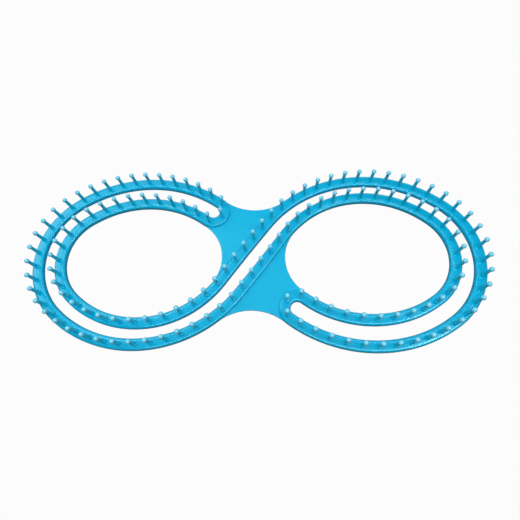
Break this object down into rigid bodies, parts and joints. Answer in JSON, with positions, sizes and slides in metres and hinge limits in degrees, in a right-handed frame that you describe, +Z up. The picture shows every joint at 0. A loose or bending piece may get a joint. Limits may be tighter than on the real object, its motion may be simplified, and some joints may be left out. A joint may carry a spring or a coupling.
{
  "type": "knitting board",
  "caption": "Figure-eight loom frame with one S-shaped slot between two rows of upright ball-headed pegs, for knitting double-sided fabric.",
  "frame": {"origin": "middle of the board, on the surface that it lies on", "axes": "+X along the board towards the right loop, +Y across it, +Z up along the pegs"},
  "size_m": [0.616, 0.2498, 0.0344],
  "materials": {
    "blue_plastic": "gloss",
    "peg_plastic": "gloss"
  },
  "bodies": {
    "root": {"frame_left_outer": "blue_plastic", "frame_left_inner": "blue_plastic", "frame_upper_middle": "blue_plastic", "frame_lower_middle": "blue_plastic", "frame_right_inner": "blue_plastic", "frame_right_outer": "blue_plastic", "peg_left_01": "peg_plastic", "peg_left_02": "peg_plastic", "peg_left_03": "peg_plastic", "peg_left_04": "peg_plastic", "peg_left_05": "peg_plastic", "peg_left_06": "peg_plastic", "peg_left_07": "peg_plastic", "peg_left_08": "peg_plastic", "peg_left_09": "peg_plastic", "peg_left_10": "peg_plastic", "peg_left_11": "peg_plastic", "peg_left_12": "peg_plastic", "peg_left_13": "peg_plastic", "peg_left_14": "peg_plastic", "peg_left_15": "peg_plastic", "peg_left_16": "peg_plastic", "peg_left_17": "peg_plastic", "peg_left_18": "peg_plastic", "peg_left_19": "peg_plastic", "peg_left_20": "peg_plastic", "peg_left_21": "peg_plastic", "peg_left_22": "peg_plastic", "peg_left_23": "peg_plastic", "peg_left_24": "peg_plastic", "peg_left_25": "peg_plastic", "peg_left_26": "peg_plastic", "peg_left_27": "peg_plastic", "peg_right_01": "peg_plastic", "peg_right_02": "peg_plastic", "peg_right_03": "peg_plastic", "peg_right_04": "peg_plastic", "peg_right_05": "peg_plastic", "peg_right_06": "peg_plastic", "peg_right_07": "peg_plastic", "peg_right_08": "peg_plastic", "peg_right_09": "peg_plastic", "peg_right_10": "peg_plastic", "peg_right_11": "peg_plastic", "peg_right_12": "peg_plastic", "peg_right_13": "peg_plastic", "peg_right_14": "peg_plastic", "peg_right_15": "peg_plastic", "peg_right_16": "peg_plastic", "peg_right_17": "peg_plastic", "peg_right_18": "peg_plastic", "peg_right_19": "peg_plastic", "peg_right_20": "peg_plastic", "peg_right_21": "peg_plastic", "peg_right_22": "peg_plastic", "peg_right_23": "peg_plastic", "peg_right_24": "peg_plastic", "peg_right_25": "peg_plastic", "peg_right_26": "peg_plastic", "peg_right_27": "peg_plastic"}
  },
  "joints": []
}
